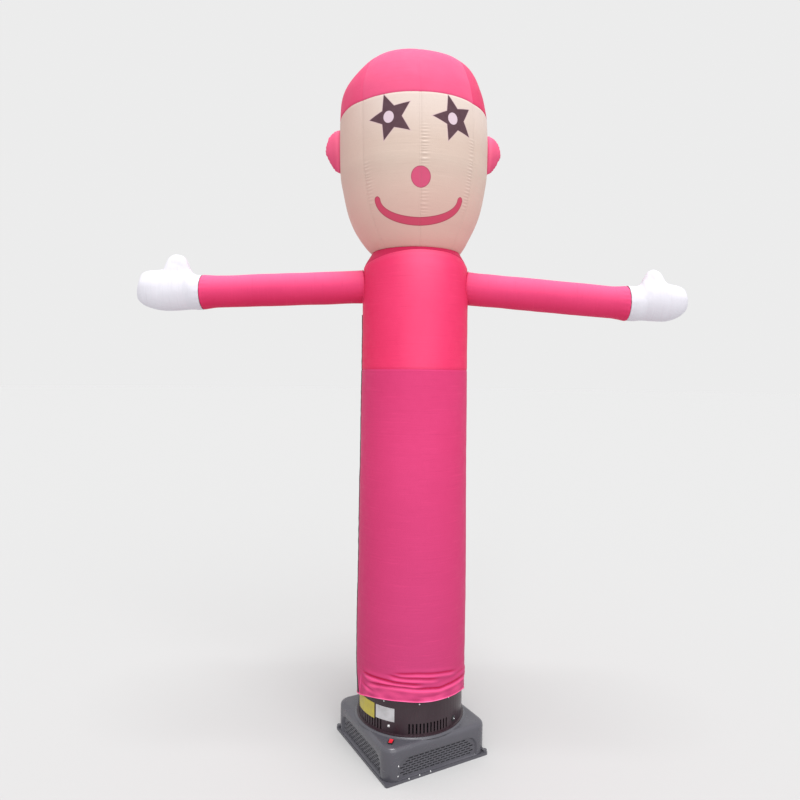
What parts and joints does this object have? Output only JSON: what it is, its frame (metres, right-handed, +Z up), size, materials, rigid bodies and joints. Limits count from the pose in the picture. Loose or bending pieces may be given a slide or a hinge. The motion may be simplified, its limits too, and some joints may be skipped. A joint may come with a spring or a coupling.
{
  "type": "inflatable air dancer",
  "caption": "Inflated cloth tube figure with head, cap, ears, two arms and mitts, standing on the round duct of its floor blower.",
  "frame": {"origin": "middle of the blower's flat underside, on the floor, below the duct's axis", "axes": "+Z up along the tube, -Y the way the face looks, +X to the right of the picture; left and right in node names are the picture's"},
  "size_m": [2.3475, 0.6602, 2.9169],
  "materials": {
    "cap_cloth": "pink coated woven nylon",
    "upper_cloth": "red-pink coated woven nylon",
    "lower_cloth": "rose-pink coated woven nylon",
    "face_cloth": "cream coated woven nylon with a printed face",
    "mitt_cloth": "white coated woven nylon",
    "housing_plastic": "dark grey moulded plastic, slightly glossy",
    "duct_plastic": "brownish black moulded plastic",
    "switch_red": "red rocker",
    "switch_black": "black plastic",
    "silver_foil": "blank silver foil plate",
    "yellow_vinyl": "blank yellow sticker",
    "screw_metal": "bright screw head"
  },
  "bodies": {
    "dancer": {"base_plate": "housing_plastic", "housing": "housing_plastic", "fan_duct": "duct_plastic", "rating_plate": "silver_foil", "side_sticker": "yellow_vinyl", "duct_screw": "screw_metal", "duct_cap": "switch_black", "switch_bezel": "switch_black", "body_lower": "lower_cloth", "body_upper": "upper_cloth", "shoulder_yoke": "upper_cloth", "head_face": "face_cloth", "head_cap": "cap_cloth", "ear_left": "upper_cloth", "ear_right": "upper_cloth", "arm_left": "upper_cloth", "arm_right": "upper_cloth", "hand_left": "mitt_cloth", "hand_right": "mitt_cloth"},
    "rocker": {"switch_rocker": "switch_red"}
  },
  "joints": [
    {"name": "switch_tilt", "type": "hinge", "parent": "dancer", "child": "rocker", "pos_m": [-0.07415, -0.25858, 0.1453], "axis": [0.9613, -0.2756, 0], "range_deg": [-16, 0]}
  ]
}
